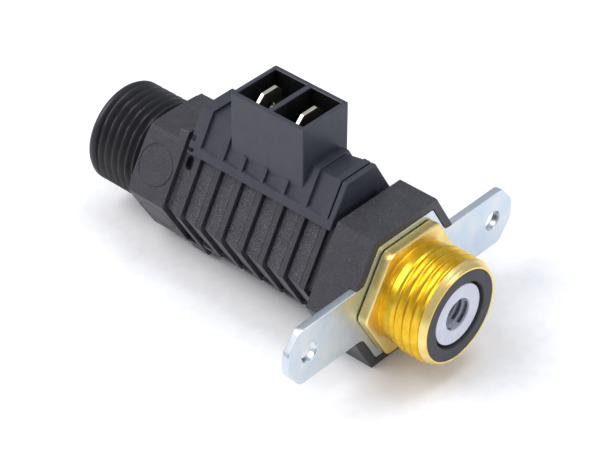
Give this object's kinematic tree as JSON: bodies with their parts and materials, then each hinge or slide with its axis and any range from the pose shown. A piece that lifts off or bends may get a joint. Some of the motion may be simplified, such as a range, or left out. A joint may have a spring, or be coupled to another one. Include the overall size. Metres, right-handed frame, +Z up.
{
  "type": "in-line solenoid water valve",
  "caption": "In-line solenoid water valve for a boiler: brass threaded inlet with a two-eared steel bracket, ribbed plastic coil body with a tab socket on top, and plastic threaded outlet.",
  "frame": {"origin": "centre of the bracket's two fixing holes, on the valve's axis, in the bracket's front face", "axes": "+X along the valve's axis out of the brass inlet, +Y along the bracket's ears, +Z up out of the terminal socket"},
  "size_m": [0.0836, 0.0618, 0.0421],
  "materials": {
    "black_pa": "glass-filled nylon, moulded, with spark-eroded panels",
    "white_pom": "white acetal, moulded",
    "bobbin_pbt": "moulded polyester",
    "coil_tape": "yellow polyester film tape",
    "rubber": "nitrile rubber, moulded",
    "brass": "turned brass",
    "tinned_brass": "tin-plated brass",
    "copper": "enamelled copper",
    "zinc_steel": "bright zinc plate, blue passivated",
    "stainless": "stainless steel, ground"
  },
  "bodies": {
    "body": {"outlet_body": "black_pa", "coil_shell": "black_pa", "connector_cover": "black_pa", "inlet_collar": "black_pa", "outlet_o_ring": "rubber", "inlet_o_ring": "rubber", "fitting_o_ring": "rubber", "end_gasket": "rubber", "terminal_tab_outlet_side": "tinned_brass", "terminal_tab_inlet_side": "tinned_brass", "coil_leads": "copper", "winding": "copper", "shading_ring": "copper", "yoke_frame": "zinc_steel", "bracket_plate": "zinc_steel", "bobbin": "bobbin_pbt", "winding_tape": "coil_tape", "guide_tube": "stainless", "fixed_core": "stainless", "return_spring": "stainless", "inlet_fitting": "brass", "inlet_strainer": "white_pom"},
    "plunger": {"plunger": "stainless", "plunger_seal": "rubber"}
  },
  "joints": [
    {"name": "plunger_slide", "type": "slide", "parent": "body", "child": "plunger", "axis": [1, 0, 0], "range_m": [0, 0.0024], "stiffness_N_per_m": 150, "springref_m": -0.004, "deforming": ["return_spring"]}
  ]
}
